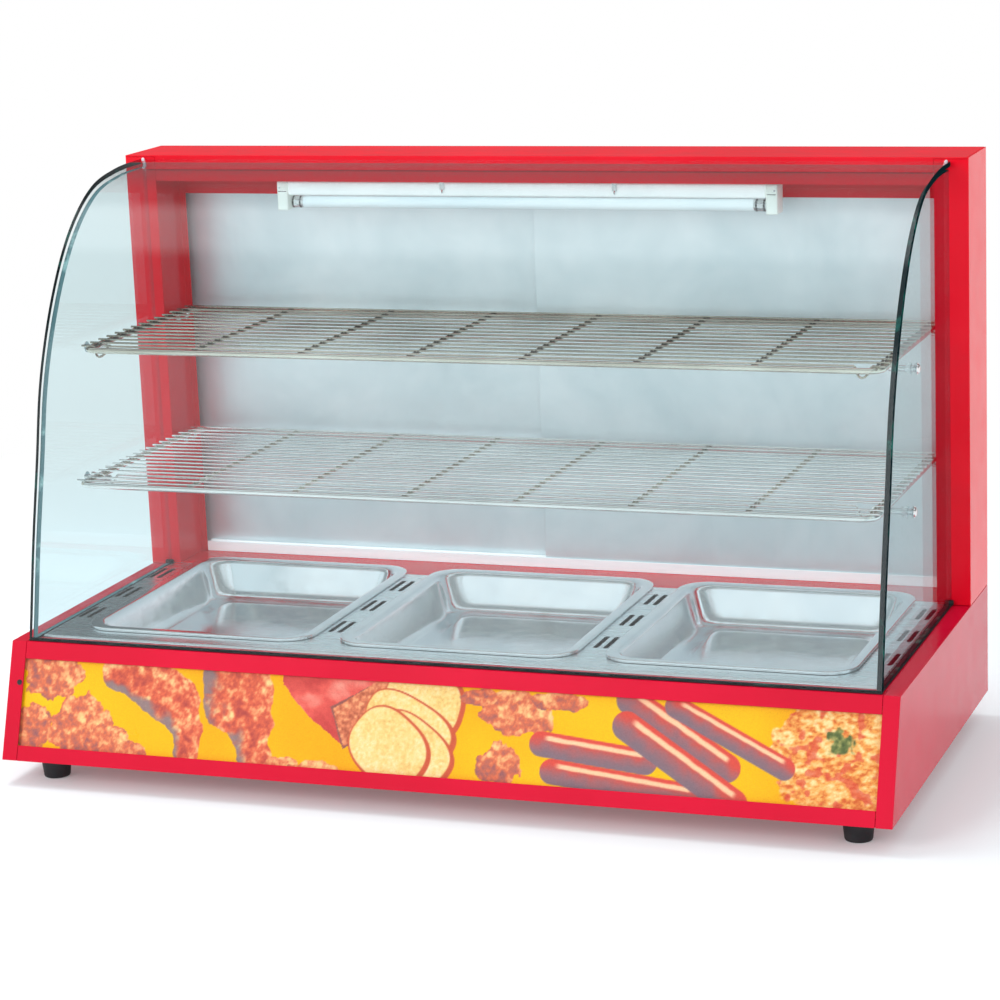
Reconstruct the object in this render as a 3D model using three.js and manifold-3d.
// Hot food display case: a heated base with a lit sign in its front, three food pans in a
// slotted deck, a curved glass front, two wire shelves, a strip lamp and sliding rear doors.
// Millimetres, +Z up, +X to the right seen from the front, +Y to the back.
// The origin is on the surface that the case stands on, in the middle of its plan.

import * as THREE from "three";
import { mergeVertices } from "three/addons/utils/BufferGeometryUtils.js";
import Module from "manifold-3d";

const wasm = await Module();
wasm.setup();

// ---- Driving dimensions ----
const WIDTH = 900; // over the side panels
const BODY_DEPTH = 440; // front lower edge to rear panel
const HEIGHT = 583; // surface to the top of the housing
const FOOT_HEIGHT = 25;
const BASE_TOP = 137.5; // top of the red base
const FRONT_LEAN = 39; // how far the base front slopes back over its height
const HOUSING_DEPTH = 86; // rear housing, front to back
const KNOB_PROUD = 15; // how far the thermostat knob stands behind the rear panel
const SHEET = 1.5; // folded sheet steel
const GAP = 0.3; // clearance between pieces that touch

// ---- Derived planes: Y counts from the middle of the plan, knob included ----
const HALF_W = WIDTH / 2;
const FRONT_Y = -(BODY_DEPTH + KNOB_PROUD) / 2;
const REAR_Y = FRONT_Y + BODY_DEPTH;
const LEDGE_Y = FRONT_Y + FRONT_LEAN; // front edge of the base top
const HOUSING_Y = REAR_Y - HOUSING_DEPTH; // front plane of posts and top rail
const BASE_HEIGHT = BASE_TOP - FOOT_HEIGHT;
const SLOPE_LENGTH = Math.hypot(FRONT_LEAN, BASE_HEIGHT);
const SIDE_FLANGE = 16; // side panel's fold onto the front and the back
const RIM_INNER = 426; // half width between the side panels' top rims
const WINDOW_HALF = HALF_W - SIDE_FLANGE;
const WINDOW_LOW = 15.5; // picture window, measured up the slope
const WINDOW_HIGH = 102;

// ---- Glass ----
const GLASS = 5;
const GLASS_HALF_W = 432.5; // half width of the curved front glass
const SIDE_GLASS_OUT = 431; // outer face of the side glass
const GLASS_BOTTOM = BASE_TOP + 2;
const GLASS_TOP = 579;
const GLASS_FOOT_Y = LEDGE_Y + 3; // outer face at the bottom

// ---- Deck and pans ----
const DECK_TOP = 140;
const DECK_SKIRT = 12; // how far the deck's edges fold down
const DECK_HALF_W = RIM_INNER - GAP;
const DECK_FRONT_Y = LEDGE_Y + 18;
const PAN_W = 246; // over the flange
const PAN_L = 294;
const PAN_PITCH = 273;
const PAN_Y = LEDGE_Y + 189; // centre of the pans, front to back
const PAN_DEPTH = 39;
const PAN_FLANGE = 12;
const PAN_TAPER = 14; // how far each wall leans in over the depth
const PAN_TOP = 143.5;

// ---- Housing, doors and lamp ----
const POST_IN = 416; // inner face of each post
const OPENING_HALF = 409; // half width of the rear opening
const LIP_Y = REAR_Y - 32; // back of the posts' inner fold
const RAIL_LOW = 556; // underside of the top rail
const LIP_LOW = 536; // lower edge of the rail's inner lip
const TRACK_LOW_RIB = 151; // top of the bottom track's ribs
const TRACK_HIGH_RIB = 545; // lower edge of the top track's ribs
const DOOR_T = 3;
const DOOR_FRONT_Y = LIP_Y + 3; // front face of the right door, which runs in the front track
const DOOR_STEP = 9; // from one door's track to the next
const DOOR_OUT = 440;
const DOOR_LAP = 15;
const DOOR_LOW = 142.6;
const DOOR_HIGH = 553;
const LAMP_X = -10;
const LAMP_Y = HOUSING_Y + 16;
const LAMP_HALF_D = 11; // half the depth of batten and holders
const BATTEN_LOW = 541;
const HOLDER_W = 12;
const TUBE_Z = 533;
const TUBE_R = 6.3;
const TUBE_LENGTH = 513;

// ---- Shelves ----
const SHELF_HALF_W = 411;
const SHELF_BAR = 5;
const SHELF_WIRE = 2;
const SHELF_CROSS_XS = [-250, 0, 250]; // bars that tie the wires together
const PIN_R = 3;
const PIN_TIP = 404; // half width between the pins' ends
const SHELVES = [
  {
    name: "upper",
    wires: 14,
    frontY: HOUSING_Y - 204,
    backY: HOUSING_Y + 49,
    pinY: HOUSING_Y - 150,
    pinZ: 405,
  },
  {
    name: "lower",
    wires: 18,
    frontY: HOUSING_Y - 234,
    backY: HOUSING_Y + 46,
    pinY: HOUSING_Y - 169,
    pinZ: 272.6,
  },
];
const REAR_PIN_Y = HOUSING_Y + 31;

const SIDES = [
  { name: "left", s: -1 },
  { name: "right", s: 1 },
];

// ---- Colours ----
const PAINT = { color: 0xe8203c, roughness: 0.3, metalness: 0 };
const STEEL = { color: 0xb9c6cc, roughness: 0.35, metalness: 1 };
const CHROME = { color: 0xd8dcdc, roughness: 0.15, metalness: 1 };
const CLEAR = { color: 0xbfe0e0, roughness: 0.03, metalness: 0 };
const WHITE = { color: 0xf2f4f2, roughness: 0.45, metalness: 0 };
const BLACK = { color: 0x15171a, roughness: 0.6, metalness: 0 };
const PICTURE = { color: 0xfdc123, roughness: 0.3, metalness: 0 };
const ALUMINIUM = { color: 0xdfe3e4, roughness: 0.35, metalness: 1 };
const AMBER = { color: 0xf09a1a, roughness: 0.15, metalness: 0 };

const root = new THREE.Group();

// ---- Geometry helpers ----
function toSolid(geometry) {
  const plain = geometry.clone();
  plain.deleteAttribute("normal");
  plain.deleteAttribute("uv");
  const merged = mergeVertices(plain, 1e-4);
  const vertProperties = new Float32Array(merged.attributes.position.array);
  const triVerts = new Uint32Array(merged.index.array);
  return new wasm.Manifold(new wasm.Mesh({ numProp: 3, vertProperties, triVerts }));
}

function toGeometry(solid) {
  const mesh = solid.getMesh();
  const geometry = new THREE.BufferGeometry();
  geometry.setAttribute("position", new THREE.BufferAttribute(mesh.vertProperties, 3));
  geometry.setIndex(new THREE.BufferAttribute(mesh.triVerts, 1));
  const faceted = geometry.toNonIndexed();
  faceted.computeVertexNormals();
  return faceted;
}

function add(name, shape, look) {
  const geometry = shape instanceof THREE.BufferGeometry ? shape : toGeometry(shape);
  const mesh = new THREE.Mesh(geometry, new THREE.MeshStandardMaterial(look));
  mesh.name = name;
  root.add(mesh);
  return mesh;
}

// A box between two X, two Y and two Z planes, given in either order. Its corners lie exactly on
// the planes, so boxes that share a plane join cleanly.
function box(x0, x1, y0, y1, z0, z1) {
  const geometry = new THREE.BoxGeometry(1, 1, 1);
  const corner = geometry.attributes.position;
  const pick = (value, a, b) => (value < 0 ? Math.min(a, b) : Math.max(a, b));
  for (let i = 0; i < corner.count; i += 1) {
    const x = pick(corner.getX(i), x0, x1);
    const y = pick(corner.getY(i), y0, y1);
    corner.setXYZ(i, x, y, pick(corner.getZ(i), z0, z1));
  }
  return geometry;
}

const solidBox = (...planes) => toSolid(box(...planes));
const union = (solids) => solids.reduce((whole, solid) => whole.add(solid));
const cutAll = (solid, tools) => tools.reduce((whole, tool) => whole.subtract(tool), solid);

const polygon = (outline) => new THREE.Shape(outline.map(([a, b]) => new THREE.Vector2(a, b)));

// An outline in (Y, Z) drawn out along X from x0 to x1.
function prismX(outline, x0, x1) {
  const depth = Math.abs(x1 - x0);
  const geometry = new THREE.ExtrudeGeometry(polygon(outline), { depth, bevelEnabled: false });
  const toYZX = new THREE.Matrix4().set(0, 0, 1, Math.min(x0, x1), 1, 0, 0, 0, 0, 1, 0, 0, 0, 0, 0, 1);
  return geometry.applyMatrix4(toYZX);
}

// A shape in (X, Y) drawn up along Z from z0 to z1.
function prismZ(shape, z0, z1) {
  const settings = { depth: 1, bevelEnabled: false, curveSegments: 6 };
  const geometry = new THREE.ExtrudeGeometry(shape, settings);
  const corner = geometry.attributes.position;
  for (let i = 0; i < corner.count; i += 1) corner.setZ(i, corner.getZ(i) < 0.5 ? z0 : z1);
  return geometry;
}

// The outline of a strip of sheet that follows a folded line; the thickness lies to its left.
function foldedOutline(line, thickness) {
  const points = line.map(([a, b]) => new THREE.Vector2(a, b));
  const normals = points.slice(1).map((p, i) => {
    const along = p.clone().sub(points[i]).normalize();
    return new THREE.Vector2(-along.y, along.x);
  });
  const inner = points.map((p, i) => {
    const before = normals[Math.max(i - 1, 0)];
    const after = normals[Math.min(i, normals.length - 1)];
    const mitre = before.clone().add(after);
    mitre.multiplyScalar(thickness / mitre.dot(before));
    return p.clone().add(mitre);
  });
  return [...points, ...inner.reverse()].map((p) => [p.x, p.y]);
}

function cylinder(radius, x, y, z0, z1, axis = "z", sides = 24) {
  const geometry = new THREE.CylinderGeometry(radius, radius, Math.abs(z1 - z0), sides);
  if (axis === "z") geometry.rotateX(Math.PI / 2);
  if (axis === "x") geometry.rotateZ(-Math.PI / 2);
  const middle = (z0 + z1) / 2;
  const place = { x: [middle, x, y], y: [x, middle, y], z: [x, y, middle] }[axis];
  return geometry.translate(...place);
}

// A body of revolution whose [radius, height] profile closes on the axis; the axis points along +Z.
function turned(profile, sides = 28) {
  const points = profile.map(([r, z]) => new THREE.Vector2(r, z));
  return new THREE.LatheGeometry(points, sides).rotateX(Math.PI / 2);
}

function roundedRect(w, l, r) {
  const shape = new THREE.Shape();
  shape.absarc(w / 2 - r, l / 2 - r, r, 0, Math.PI / 2);
  shape.absarc(-w / 2 + r, l / 2 - r, r, Math.PI / 2, Math.PI);
  shape.absarc(-w / 2 + r, -l / 2 + r, r, Math.PI, Math.PI * 1.5);
  shape.absarc(w / 2 - r, -l / 2 + r, r, Math.PI * 1.5, Math.PI * 2);
  return shape;
}

// ---- Base ----
// A point on the sloping front, `up` the slope and `inward` from its face.
function slope(up, inward = 0) {
  const along = new THREE.Vector2(FRONT_LEAN, BASE_HEIGHT).divideScalar(SLOPE_LENGTH);
  return [
    FRONT_Y + along.x * up + along.y * inward,
    FOOT_HEIGHT + along.y * up - along.x * inward,
  ];
}

function baseSide({ name, s }) {
  const outer = [
    [FRONT_Y, FOOT_HEIGHT],
    [REAR_Y, FOOT_HEIGHT],
    [REAR_Y, BASE_TOP],
    [LEDGE_Y, BASE_TOP],
  ];
  const [lowY, lowZ] = slope(0, SHEET);
  const lean = FRONT_LEAN / BASE_HEIGHT;
  const innerLow = [lowY + (FOOT_HEIGHT + SHEET - lowZ) * lean, FOOT_HEIGHT + SHEET];
  const innerHigh = [lowY + (BASE_TOP - SHEET - lowZ) * lean, BASE_TOP - SHEET];
  const inner = [innerLow, [REAR_Y - SHEET, innerLow[1]], [REAR_Y - SHEET, innerHigh[1]], innerHigh];
  const shell = toSolid(prismX(outer, s * WINDOW_HALF, s * HALF_W));
  const hollow = toSolid(prismX(inner, s * (WINDOW_HALF - 1), s * (HALF_W - SHEET)));
  const rimX = [s * RIM_INNER, s * (WINDOW_HALF + 2)];
  const rim = solidBox(...rimX, DECK_FRONT_Y, REAR_Y - SHEET, BASE_TOP - SHEET, BASE_TOP);
  add(`base_side_${name}`, shell.subtract(hollow).add(rim), PAINT);
}

const WINDOW_FOLD = 4; // depth of the rails' folds round the window
const RAIL_SKIRT = 15.5; // the top rail's fold down in front of the deck
const RAIL_FOOT = 22; // the bottom rail's fold back under the base

function frontRails() {
  const half = WINDOW_HALF - GAP;
  const ledgeBack = DECK_FRONT_Y - GAP;
  const top = [
    slope(WINDOW_HIGH, WINDOW_FOLD),
    slope(WINDOW_HIGH),
    [LEDGE_Y, BASE_TOP],
    [ledgeBack, BASE_TOP],
    [ledgeBack, BASE_TOP - RAIL_SKIRT],
  ];
  const bottom = [
    [FRONT_Y + RAIL_FOOT, FOOT_HEIGHT],
    [FRONT_Y, FOOT_HEIGHT],
    slope(WINDOW_LOW),
    slope(WINDOW_LOW, WINDOW_FOLD),
  ];
  add("base_front_top_rail", prismX(foldedOutline(top.reverse(), SHEET), -half, half), PAINT);
  add("base_front_bottom_rail", prismX(foldedOutline(bottom.reverse(), SHEET), -half, half), PAINT);
}

const PICTURE_LOW = 9; // picture panel, measured up the slope
const PICTURE_HIGH = 109;
const PICTURE_T = 3;
const PICTURE_HALF = HALF_W - 12;

function picturePanel() {
  const near = WINDOW_FOLD + GAP;
  const far = near + PICTURE_T;
  const outline = [
    slope(PICTURE_LOW, near),
    slope(PICTURE_LOW, far),
    slope(PICTURE_HIGH, far),
    slope(PICTURE_HIGH, near),
  ];
  add("picture_panel", prismX(outline, -PICTURE_HALF, PICTURE_HALF), PICTURE);
}

const LIGHT_BOX = { low: 24, high: 98, near: 8, far: 28, half: 424 };
const SIGN_TUBE = { up: 60, inward: 18, half: 388, r: 7, holder: 14 };

// The light box is a folded white tray that opens towards the picture panel.
function lightBox() {
  const { low, high, near, far, half } = LIGHT_BOX;
  const line = [slope(low, near), slope(low, far), slope(high, far), slope(high, near)];
  add("light_box", prismX(foldedOutline(line.reverse(), 1), -half, half), WHITE);
}

function signTube() {
  const { up, inward, half, r, holder } = SIGN_TUBE;
  const [y, z] = slope(up, inward);
  add("sign_tube", cylinder(r, y, z, -half, half, "x", 16), WHITE);
  for (const { name, s } of SIDES) {
    const x0 = s * (half + GAP);
    add(`sign_lampholder_${name}`, box(x0, x0 + s * holder, y - r, y + r, z - r, z + r), WHITE);
  }
}

const FLOOR_VENT = { pitch: 50, halfL: 15, halfW: 3, perSide: 6, rows: [-60, 60] };

function floorPlate() {
  const z0 = FOOT_HEIGHT + SHEET + GAP;
  const half = HALF_W - SHEET - GAP;
  const plate = solidBox(-half, half, FRONT_Y + 8, REAR_Y - SHEET - GAP, z0, z0 + SHEET);
  const { pitch, halfL, halfW, perSide, rows } = FLOOR_VENT;
  const vents = [];
  for (let i = -perSide; i <= perSide; i += 1) {
    const x = i * pitch;
    for (const y of rows) {
      vents.push(solidBox(x - halfL, x + halfL, y - halfW, y + halfW, z0 - 1, z0 + SHEET + 1));
    }
  }
  add("base_floor_plate", cutAll(plate, vents), PAINT);
}

// Places of the controls on the rear panel.
const CONTROL_Z = 88;
const KNOB_X = 300;
const PILOT_X = 250;
const SWITCHES = [{ name: "heat_switch", x: 205 }, { name: "light_switch", x: 160 }];
const GLAND_X = -380;
const GLAND_Z = 62;
const SWITCH_W = 22;
const SWITCH_H = 30;
const SWITCH_THROW = 16; // degrees between off and on
const SHAFT_HOLE_R = 4.5;
const PILOT_HOLE_R = 5.5;
const GLAND_HOLE_R = 8.5;
const REAR_VENT = { x: -300, pitch: 44, length: 30, halfH: 2, count: 9, rows: [60, 72] };

function rearPanel() {
  const half = WINDOW_HALF - GAP;
  const low = FOOT_HEIGHT + SHEET * 2 + GAP * 2;
  const panel = solidBox(-half, half, REAR_Y - SHEET, REAR_Y, low, BASE_TOP);
  const through = [REAR_Y - 5, REAR_Y + 5];
  const holes = [
    toSolid(cylinder(SHAFT_HOLE_R, KNOB_X, CONTROL_Z, ...through, "y")),
    toSolid(cylinder(PILOT_HOLE_R, PILOT_X, CONTROL_Z, ...through, "y")),
    toSolid(cylinder(GLAND_HOLE_R, GLAND_X, GLAND_Z, ...through, "y")),
  ];
  for (const { x } of SWITCHES) {
    const w = SWITCH_W / 2 - 2;
    const h = SWITCH_H / 2 - 2;
    holes.push(solidBox(x - w, x + w, ...through, CONTROL_Z - h, CONTROL_Z + h));
  }
  const { x: firstX, pitch, length, halfH, count, rows } = REAR_VENT;
  for (let i = 0; i < count; i += 1) {
    const x = firstX + i * pitch;
    for (const z of rows) holes.push(solidBox(x, x + length, ...through, z - halfH, z + halfH));
  }
  add("base_rear_panel", cutAll(panel, holes), PAINT);
}

const FOOT_X = 410;
const FOOT_INSET = 38; // from the front and the rear plane
const FOOT_ENDS = [
  { end: "front", y: FRONT_Y + FOOT_INSET },
  { end: "rear", y: REAR_Y - FOOT_INSET },
];

// Each foot is a tapered rubber button with a neck up through the floor's fold.
function feet() {
  const neck = FOOT_HEIGHT + SHEET;
  const top = FOOT_HEIGHT - GAP;
  const button = [[0, 0], [12.5, 0], [13.5, 1.5], [15.5, top - 2], [14.5, top]];
  const profile = [...button, [6, top], [6, neck], [0, neck]];
  for (const { name, s } of SIDES) {
    for (const { end, y } of FOOT_ENDS) {
      add(`foot_${end}_${name}`, turned(profile, 20), BLACK).position.set(s * FOOT_X, y, 0);
    }
  }
}

// ---- Deck, pans and the heating under them ----
const PAN_XS = [-PAN_PITCH, 0, PAN_PITCH];
const PAN_NAMES = ["left", "centre", "right"];
const PAN_HOLE_W = PAN_W - 20;
const PAN_HOLE_L = PAN_L - 20;
const DECK_BACK_Y = HOUSING_Y - GAP;

const SLOT_XS = [133, 143, 410.5, 420];
const SLOT_YS = [HOUSING_Y - 47, HOUSING_Y - 127, HOUSING_Y - 208];
const SLOT_W = 5;
const SLOT_L = 41;

// Warm air rises through pairs of slots between and beside the pans.
function deckSlots() {
  const z = [DECK_TOP - SHEET - 1, DECK_TOP + 1];
  const w = SLOT_W / 2;
  const l = SLOT_L / 2;
  const across = SLOT_XS.flatMap((x) => [-x, x]);
  return across.flatMap((x) => SLOT_YS.map((y) => solidBox(x - w, x + w, y - l, y + l, ...z)));
}

function deckPlate() {
  const t = SHEET;
  const under = DECK_TOP - t;
  const low = DECK_TOP - DECK_SKIRT;
  const half = DECK_HALF_W;
  const block = solidBox(-half, half, DECK_FRONT_Y, DECK_BACK_Y, low, DECK_TOP);
  const hollow = solidBox(-half + t, half - t, DECK_FRONT_Y + t, DECK_BACK_Y + 1, low - 1, under);
  const openings = PAN_XS.map((x) => {
    const w = PAN_HOLE_W / 2;
    return solidBox(x - w, x + w, PAN_Y - PAN_HOLE_L / 2, DECK_BACK_Y + 1, under - 1, DECK_TOP + 1);
  });
  add("deck_plate", cutAll(block, [hollow, ...openings, ...deckSlots()]), STEEL);
}

function rearLedge() {
  const under = DECK_TOP - SHEET;
  const y0 = DECK_BACK_Y + GAP;
  const wide = POST_IN - GAP;
  const narrow = OPENING_HALF - GAP;
  const front = solidBox(-wide, wide, y0, LIP_Y - SHEET - GAP, under, DECK_TOP);
  const back = solidBox(-narrow, narrow, LIP_Y - SHEET - 1, REAR_Y - SHEET - GAP, under, DECK_TOP);
  const notchBack = PAN_Y + PAN_HOLE_L / 2;
  const notches = PAN_XS.map((x) => {
    return solidBox(x - PAN_HOLE_W / 2, x + PAN_HOLE_W / 2, y0 - 1, notchBack, under - 1, DECK_TOP + 1);
  });
  add("rear_ledge", cutAll(front.add(back), notches), PAINT);
}

// A tapered tub: the outline at the top, its walls leaning in to the bottom.
function tub(w, l, r, zTop, zBottom, taper, rise) {
  const shape = roundedRect(w - taper * 2, l - taper * 2, r);
  const settings = {
    depth: rise,
    bevelEnabled: true,
    bevelThickness: zTop - zBottom,
    bevelSize: taper,
    bevelSegments: 1,
    curveSegments: 5,
  };
  return toSolid(new THREE.ExtrudeGeometry(shape, settings).translate(0, 0, zTop));
}

const PAN_CORNER = 30;
const PAN_LIP = 1.5; // thickness of the turned-down lip

function pan() {
  const wall = 1;
  const innerW = PAN_W - PAN_FLANGE * 2;
  const innerL = PAN_L - PAN_FLANGE * 2;
  const under = PAN_TOP - wall;
  const bottom = PAN_TOP - PAN_DEPTH - wall;
  const rim = roundedRect(PAN_W, PAN_L, PAN_CORNER);
  const rimInner = roundedRect(PAN_W - PAN_LIP * 2, PAN_L - PAN_LIP * 2, PAN_CORNER - PAN_LIP);
  const flange = toSolid(prismZ(rim, under, PAN_TOP));
  const lipOuter = toSolid(prismZ(rim, DECK_TOP + GAP, under + wall / 2));
  const lipInner = toSolid(prismZ(rimInner, DECK_TOP - 1, under));
  const above = solidBox(-PAN_W, PAN_W, -PAN_L, PAN_L, under + wall / 2, PAN_TOP + PAN_DEPTH);
  const outside = tub(innerW + wall * 2, innerL + wall * 2, 12, under, bottom, PAN_TAPER, wall);
  const inside = tub(innerW, innerL, 11, PAN_TOP, bottom + wall, PAN_TAPER, 5);
  const lip = lipOuter.subtract(lipInner);
  return outside.subtract(above).add(flange).add(lip).subtract(inside);
}

const WELL = { half: 418, y0: DECK_FRONT_Y + 6, y1: HOUSING_Y + 16, low: 50, high: 127, wall: 1 };

function heatWell() {
  const { half, y0, y1, low, high, wall } = WELL;
  const outer = solidBox(-half, half, y0, y1, low, high);
  const inner = solidBox(-half + wall, half - wall, y0 + wall, y1 - wall, low + wall, high + 1);
  add("heat_well_tray", outer.subtract(inner), STEEL);
}

// The element lies in the well as one flat zigzag of round rod.
const ELEMENT_R = 4;
const ELEMENT_Z = 72;
const ELEMENT_RUNS = 4;
const ELEMENT_HALF_X = 380;
const ELEMENT_PITCH = 64;
const ELEMENT_HALF_Y = (ELEMENT_PITCH * (ELEMENT_RUNS - 1)) / 2;
const SUPPORT = { x: 136, halfW: 8, over: 12 };

function elementPath() {
  const path = new THREE.CurvePath();
  for (let i = 0; i < ELEMENT_RUNS; i += 1) {
    const s = i % 2 === 0 ? 1 : -1;
    const y = PAN_Y - ELEMENT_HALF_Y + i * ELEMENT_PITCH;
    const from = new THREE.Vector3(-s * ELEMENT_HALF_X, y, ELEMENT_Z);
    const to = new THREE.Vector3(s * ELEMENT_HALF_X, y, ELEMENT_Z);
    path.add(new THREE.LineCurve3(from, to));
    if (i < ELEMENT_RUNS - 1) {
      const reach = s * (ELEMENT_HALF_X + ELEMENT_PITCH * 0.45);
      const a = new THREE.Vector3(reach, y, ELEMENT_Z);
      const b = new THREE.Vector3(reach, y + ELEMENT_PITCH, ELEMENT_Z);
      const next = new THREE.Vector3(to.x, y + ELEMENT_PITCH, ELEMENT_Z);
      path.add(new THREE.CubicBezierCurve3(to, a, b, next));
    }
  }
  return path;
}

function heatingElement() {
  const section = new THREE.Shape().absarc(0, 0, ELEMENT_R, 0, Math.PI * 2);
  const settings = { steps: 90, extrudePath: elementPath(), curveSegments: 4 };
  add("heating_element", new THREE.ExtrudeGeometry(section, settings), STEEL);
  const reach = ELEMENT_HALF_Y + SUPPORT.over;
  const low = WELL.low + WELL.wall + GAP;
  const top = ELEMENT_Z - ELEMENT_R - GAP;
  for (const { name, s } of SIDES) {
    const x = [s * SUPPORT.x - SUPPORT.halfW, s * SUPPORT.x + SUPPORT.halfW];
    add(`element_support_${name}`, box(...x, PAN_Y - reach, PAN_Y + reach, low, top), STEEL);
  }
}

// ---- Rear housing ----
function post({ name, s }) {
  const line = [
    [OPENING_HALF, LIP_Y], [POST_IN, LIP_Y], [POST_IN, HOUSING_Y], [HALF_W, HOUSING_Y],
    [HALF_W, REAR_Y], [OPENING_HALF, REAR_Y],
  ];
  const outline = foldedOutline(line, SHEET).map(([x, y]) => [s * x, y]);
  const low = BASE_TOP + GAP;
  const high = HEIGHT - SHEET - GAP;
  const channel = toSolid(prismZ(polygon(outline), low, high));
  const side = solidBox(s * (HALF_W - SHEET), s * HALF_W, HOUSING_Y, REAR_Y, low, HEIGHT);
  add(`post_${name}`, channel.add(side), PAINT);
}

function topRail() {
  const wide = POST_IN - GAP;
  const narrow = OPENING_HALF - GAP;
  const full = HALF_W - SHEET - GAP;
  const y = HOUSING_Y;
  const pieces = [
    solidBox(-full, full, y, REAR_Y, HEIGHT - SHEET, HEIGHT),
    solidBox(-wide, wide, y, y + SHEET, RAIL_LOW, HEIGHT),
    solidBox(-wide, wide, y, LIP_Y - GAP - SHEET, RAIL_LOW, RAIL_LOW + SHEET),
    solidBox(-narrow, narrow, LIP_Y - SHEET - 1, LIP_Y, RAIL_LOW, RAIL_LOW + SHEET),
    solidBox(-narrow, narrow, LIP_Y - SHEET, LIP_Y, LIP_LOW, RAIL_LOW + SHEET),
    solidBox(-narrow, narrow, REAR_Y - SHEET, REAR_Y, LIP_LOW, HEIGHT),
  ];
  add("top_rail", union(pieces), PAINT);
}

// ---- Glass ----
const GLASS_ARC = new THREE.SplineCurve([
  new THREE.Vector2(GLASS_FOOT_Y, GLASS_BOTTOM),
  new THREE.Vector2(LEDGE_Y + 22, 230),
  new THREE.Vector2(LEDGE_Y + 42, 310),
  new THREE.Vector2(LEDGE_Y + 62, 390),
  new THREE.Vector2(LEDGE_Y + 97, 465),
  new THREE.Vector2(LEDGE_Y + 142, 525),
  new THREE.Vector2(LEDGE_Y + 197, 564),
  new THREE.Vector2(LEDGE_Y + 258, 577),
  new THREE.Vector2(HOUSING_Y - GAP, GLASS_TOP),
]);

// The arc moved inward by a distance that may grow from the bottom to the top.
function glassOffset(atBottom, atTop, steps = 26) {
  const points = [];
  for (let i = 0; i <= steps; i += 1) {
    const t = i / steps;
    const p = GLASS_ARC.getPoint(t);
    const along = GLASS_ARC.getTangent(t);
    const inward = THREE.MathUtils.lerp(atBottom, atTop, t);
    points.push([p.x + along.y * inward, p.y - along.x * inward]);
  }
  points[0][1] = GLASS_BOTTOM;
  points[steps][0] = HOUSING_Y - GAP;
  return points;
}

function frontGlass() {
  const outline = [...glassOffset(0, 0), ...glassOffset(GLASS, GLASS).reverse()];
  add("glass_front_curved", prismX(outline, -GLASS_HALF_W, GLASS_HALF_W), CLEAR);
}

function sideGlass({ name, s }) {
  const front = glassOffset(GLASS + GAP, GLASS + 3);
  const outline = [...front, [HOUSING_Y - GAP, GLASS_BOTTOM]];
  const pane = toSolid(prismX(outline, s * SIDE_GLASS_OUT, s * (SIDE_GLASS_OUT - GLASS)));
  const through = [s * (SIDE_GLASS_OUT + 2), s * (SIDE_GLASS_OUT - GLASS - 3)];
  const holes = SHELVES.map(({ pinY, pinZ }) => {
    return toSolid(cylinder(PIN_R + 1, pinY, pinZ, ...through, "x", 16));
  });
  add(`glass_side_${name}`, cutAll(pane, holes), CLEAR);
}

// One black strip runs along both sides and the front, under the edges of the glass.
function glassSeal() {
  const low = BASE_TOP + GAP;
  const high = GLASS_BOTTOM - GAP;
  const front = GLASS_FOOT_Y - 1;
  const back = HOUSING_Y - GAP;
  const inner = SIDE_GLASS_OUT - GLASS + GAP;
  const outer = SIDE_GLASS_OUT + 1;
  const strips = SIDES.map(({ s }) => solidBox(s * inner, s * outer, front, back, low, high));
  strips.push(solidBox(-GLASS_HALF_W, GLASS_HALF_W, front, front + GLASS + 2, low, high));
  add("glass_seal", union(strips), BLACK);
}

// ---- Doors ----
function doorTracks() {
  const half = OPENING_HALF - GAP;
  const first = LIP_Y + GAP;
  const ribs = [0, 1, 2].map((i) => first + i * DOOR_STEP);
  const last = ribs[2] + SHEET;
  const low = DECK_TOP + GAP;
  const foot = solidBox(-half, half, first, last, low, low + SHEET);
  const up = ribs.map((y) => solidBox(-half, half, y, y + SHEET, low, TRACK_LOW_RIB));
  add("door_track_bottom", union([foot, ...up]), ALUMINIUM);
  const roof = solidBox(-half, half, first, REAR_Y - SHEET - GAP, RAIL_LOW, RAIL_LOW + SHEET);
  const down = ribs.map((y) => solidBox(-half, half, y, y + SHEET, TRACK_HIGH_RIB, RAIL_LOW + SHEET));
  add("door_track_top", union([roof, ...down]), ALUMINIUM);
}

const PULL = { x: 384, z: 350, halfW: 13, halfH: 48, thick: 3, rim: 2, floor: 1 };

// A shallow dished grip on the operator's face of a door, thin enough to pass the other door.
function doorPull({ name, s }, y) {
  const { z, halfW, halfH, thick, rim, floor } = PULL;
  const x = s * PULL.x;
  const plate = solidBox(x - halfW, x + halfW, y, y + thick, z - halfH, z + halfH);
  const w = halfW - rim;
  const h = halfH - rim;
  const dish = solidBox(x - w, x + w, y + floor, y + thick + 1, z - h, z + h);
  add(`door_pull_${name}`, plate.subtract(dish), STEEL);
}

function door({ name, s }) {
  const track = s > 0 ? 0 : 1; // counted from the front
  const y0 = DOOR_FRONT_Y + track * DOOR_STEP;
  const y1 = y0 + DOOR_T;
  add(`door_${name}`, box(s * -DOOR_LAP, s * DOOR_OUT, y0, y1, DOOR_LOW, DOOR_HIGH), STEEL);
  doorPull({ name, s }, y1 + GAP);
}

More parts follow.
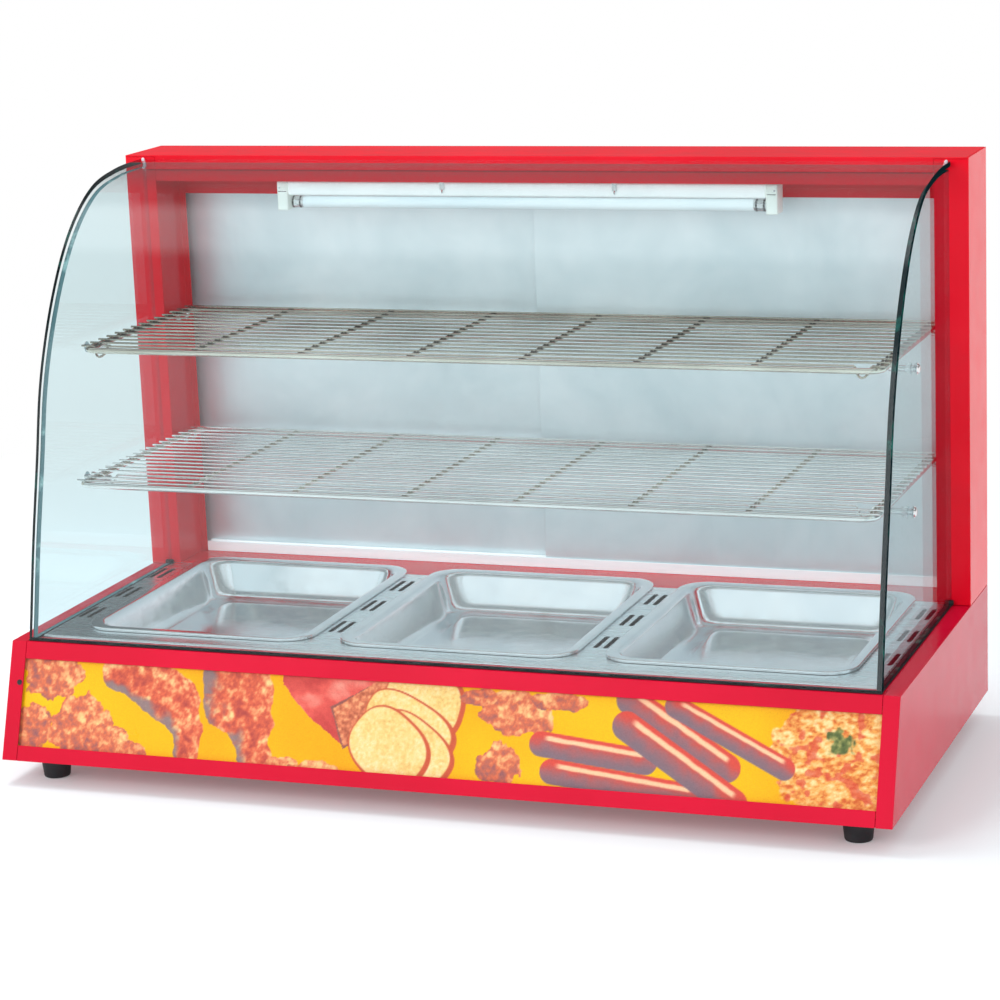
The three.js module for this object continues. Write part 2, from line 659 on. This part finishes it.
// ---- Lamp under the top rail ----
function lamp() {
  const tubeHalf = TUBE_LENGTH / 2;
  const half = tubeHalf + GAP;
  const top = RAIL_LOW - GAP;
  const depth = [LAMP_Y - LAMP_HALF_D, LAMP_Y + LAMP_HALF_D];
  add("lamp_batten", box(LAMP_X - half, LAMP_X + half, ...depth, BATTEN_LOW, top), WHITE);
  for (const { name, s } of SIDES) {
    const x0 = LAMP_X + s * (half + GAP);
    add(`lampholder_${name}`, box(x0, x0 + s * HOLDER_W, ...depth, TUBE_Z - 8, top), WHITE);
  }
  const ends = [LAMP_X - tubeHalf, LAMP_X + tubeHalf];
  add("lamp_tube", cylinder(TUBE_R, LAMP_Y, TUBE_Z, ...ends, "x", 20), WHITE);
}

// ---- Shelves and their pins ----
function shelf({ name, pinZ, frontY, backY, wires }) {
  const z0 = pinZ + PIN_R + GAP;
  const z1 = z0 + SHELF_BAR;
  const x = SHELF_HALF_W;
  const b = SHELF_BAR;
  const frame = solidBox(-x, x, frontY, backY, z0, z1);
  const hole = solidBox(-x + b, x - b, frontY + b, backY - b, z0 - 1, z1 + 1);
  const wireTop = z1 - 0.6;
  const wireLow = wireTop - SHELF_WIRE;
  const bars = [frame.subtract(hole)];
  const r = SHELF_WIRE / 2;
  for (let i = 1; i <= wires; i += 1) {
    const y = THREE.MathUtils.lerp(frontY, backY, i / (wires + 1));
    bars.push(solidBox(-x + b / 2, x - b / 2, y - r, y + r, wireLow, wireTop));
  }
  for (const at of SHELF_CROSS_XS) {
    bars.push(solidBox(at - 1.5, at + 1.5, frontY + b / 2, backY - b / 2, wireLow - 1.5, wireLow + r));
  }
  add(`shelf_${name}`, union(bars), CHROME);
}

function pins({ name, s }, { name: level, pinZ, pinY }) {
  const tip = s * PIN_TIP;
  const out = s * (SIDE_GLASS_OUT + GAP);
  const shaft = toSolid(cylinder(PIN_R, pinY, pinZ, tip, out + s * 1, "x", 16));
  const head = toSolid(cylinder(5, pinY, pinZ, out, out + s * 3, "x", 16));
  add(`shelf_pin_${level}_front_${name}`, shaft.add(head), CHROME);
  const wall = s * (POST_IN - GAP);
  const stub = toSolid(cylinder(PIN_R, REAR_PIN_Y, pinZ, tip, wall - s * 1, "x", 16));
  const plate = toSolid(cylinder(6, REAR_PIN_Y, pinZ, wall - s * 2, wall, "x", 16));
  add(`shelf_pin_${level}_rear_${name}`, stub.add(plate), CHROME);
}

// ---- Controls on the rear panel ----
const INSIDE_Y = REAR_Y - SHEET - GAP;
const THERMOSTAT = { halfW: 18, depth: 32, halfH: 22 };
const BALLAST = { halfW: 90, near: 4, far: 40, low: 30, high: 58 };

function thermostat() {
  const { halfW, depth, halfH } = THERMOSTAT;
  const x = [KNOB_X - halfW, KNOB_X + halfW];
  const z = [CONTROL_Z - halfH, CONTROL_Z + halfH];
  add("thermostat_body", box(...x, INSIDE_Y - depth, INSIDE_Y, ...z), BLACK);
  const face = REAR_Y + GAP;
  const knobFront = REAR_Y + KNOB_PROUD;
  const dial = toSolid(cylinder(17, KNOB_X, CONTROL_Z, face, face + 5, "y", 32));
  const grip = toSolid(cylinder(11, KNOB_X, CONTROL_Z, face + 4, knobFront - 2, "y", 24));
  const ridge = solidBox(KNOB_X - 2, KNOB_X + 2, face + 4, knobFront, CONTROL_Z - 11, CONTROL_Z + 11);
  add("thermostat_knob", union([dial, grip, ridge]), BLACK);
}

function controls() {
  thermostat();
  for (const { name, x } of SWITCHES) controlSwitch(name, x);
  const face = REAR_Y + GAP;
  const bezel = turned([[0, 0], [8, 0], [8, 2], [6, 3], [5, 7], [3, 9], [0, 10]], 20);
  add("pilot_lamp", bezel.rotateX(-Math.PI / 2).translate(PILOT_X, face, CONTROL_Z), AMBER);
  const nut = [[0, 0], [13, 0], [13, 7], [10.5, 7.5], [9.5, 14], [4.5, 14], [4.5, 4], [0, 4]];
  add("cable_gland", turned(nut, 12).rotateX(-Math.PI / 2).translate(GLAND_X, face, GLAND_Z), BLACK);
  const { halfW, near, far, low, high } = BALLAST;
  add("ballast", box(-halfW, halfW, INSIDE_Y - far, INSIDE_Y - near, low, high), WHITE);
}

function controlSwitch(name, x) {
  const face = REAR_Y + GAP;
  const w = SWITCH_W / 2;
  const h = SWITCH_H / 2;
  const inset = (margin, y0, y1) => {
    const a = w - margin;
    const b = h - margin;
    return solidBox(x - a, x + a, face + y0, face + y1, CONTROL_Z - b, CONTROL_Z + b);
  };
  const bezel = inset(0, 0, 2);
  const body = inset(3, -24, 1);
  const well = inset(4, -9, 3);
  add(`${name}_housing`, body.add(bezel).subtract(well), BLACK);
  // The rocker is a shallow V that pivots about X at its middle, resting on one wing.
  const pivotY = face + 0.5;
  const reach = h - 5.5;
  const wing = Math.tan(THREE.MathUtils.degToRad(SWITCH_THROW / 2)) * reach;
  const half = 1.5; // from the pivot to each face of the wings
  const outline = [
    [-5, 0],
    [-half, reach],
    [half + wing, reach],
    [half, 0],
    [half + wing, -reach],
    [-half, -reach],
  ];
  const rocker = prismX(outline.reverse(), -w + 4 + GAP, w - 4 - GAP);
  rocker.rotateX(THREE.MathUtils.degToRad(-SWITCH_THROW / 2));
  add(`${name}_rocker`, rocker, BLACK).position.set(x, pivotY, CONTROL_Z);
}

// ---- Assembly ----
function buildBase() {
  SIDES.forEach(baseSide);
  frontRails();
  picturePanel();
  lightBox();
  signTube();
  floorPlate();
  rearPanel();
  feet();
  controls();
}

function buildDeck() {
  deckPlate();
  rearLedge();
  heatWell();
  heatingElement();
  const solid = pan();
  PAN_XS.forEach((x, i) => add(`pan_${PAN_NAMES[i]}`, solid, STEEL).position.set(x, PAN_Y, 0));
}

function buildHousing() {
  SIDES.forEach(post);
  topRail();
  doorTracks();
  SIDES.forEach(door);
  lamp();
}

function buildDisplay() {
  frontGlass();
  SIDES.forEach(sideGlass);
  glassSeal();
  for (const level of SHELVES) {
    shelf(level);
    SIDES.forEach((side) => pins(side, level));
  }
}

buildBase();
buildDeck();
buildHousing();
buildDisplay();

export default root;
